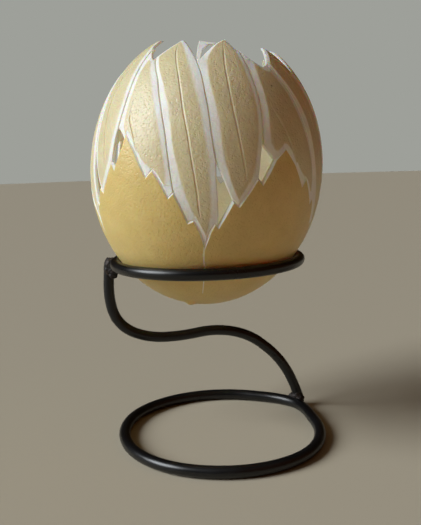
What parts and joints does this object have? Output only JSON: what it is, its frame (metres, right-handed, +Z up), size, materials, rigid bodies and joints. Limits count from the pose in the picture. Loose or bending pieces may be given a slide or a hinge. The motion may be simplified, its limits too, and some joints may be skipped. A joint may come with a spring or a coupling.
{
  "type": "carved ostrich eggshell on a black steel rod stand",
  "caption": "Carved ostrich eggshell, open at the top in a crown of pointed petals, resting in a ring stand bent and welded from black steel rod.",
  "frame": {"origin": "centre of the object's outline on the surface that it stands on", "axes": "+Z up, -Y towards the viewer, +X to the viewer's right; the stem leaves the egg's ring at -X and lands behind at +X"},
  "size_m": [0.128, 0.135, 0.2177],
  "materials": {
    "eggshell": "cream ostrich eggshell with a soft gloss and fine pores; chalky white where it is carved",
    "black_rod": "satin black paint on bent steel rod",
    "weld": "rough weld bead under thin black paint, brownish where it is bare"
  },
  "bodies": {
    "root": {"eggshell": "eggshell", "top_ring": "black_rod", "stem": "black_rod", "base_ring": "black_rod", "upper_weld": "weld", "lower_weld": "weld"}
  },
  "joints": []
}
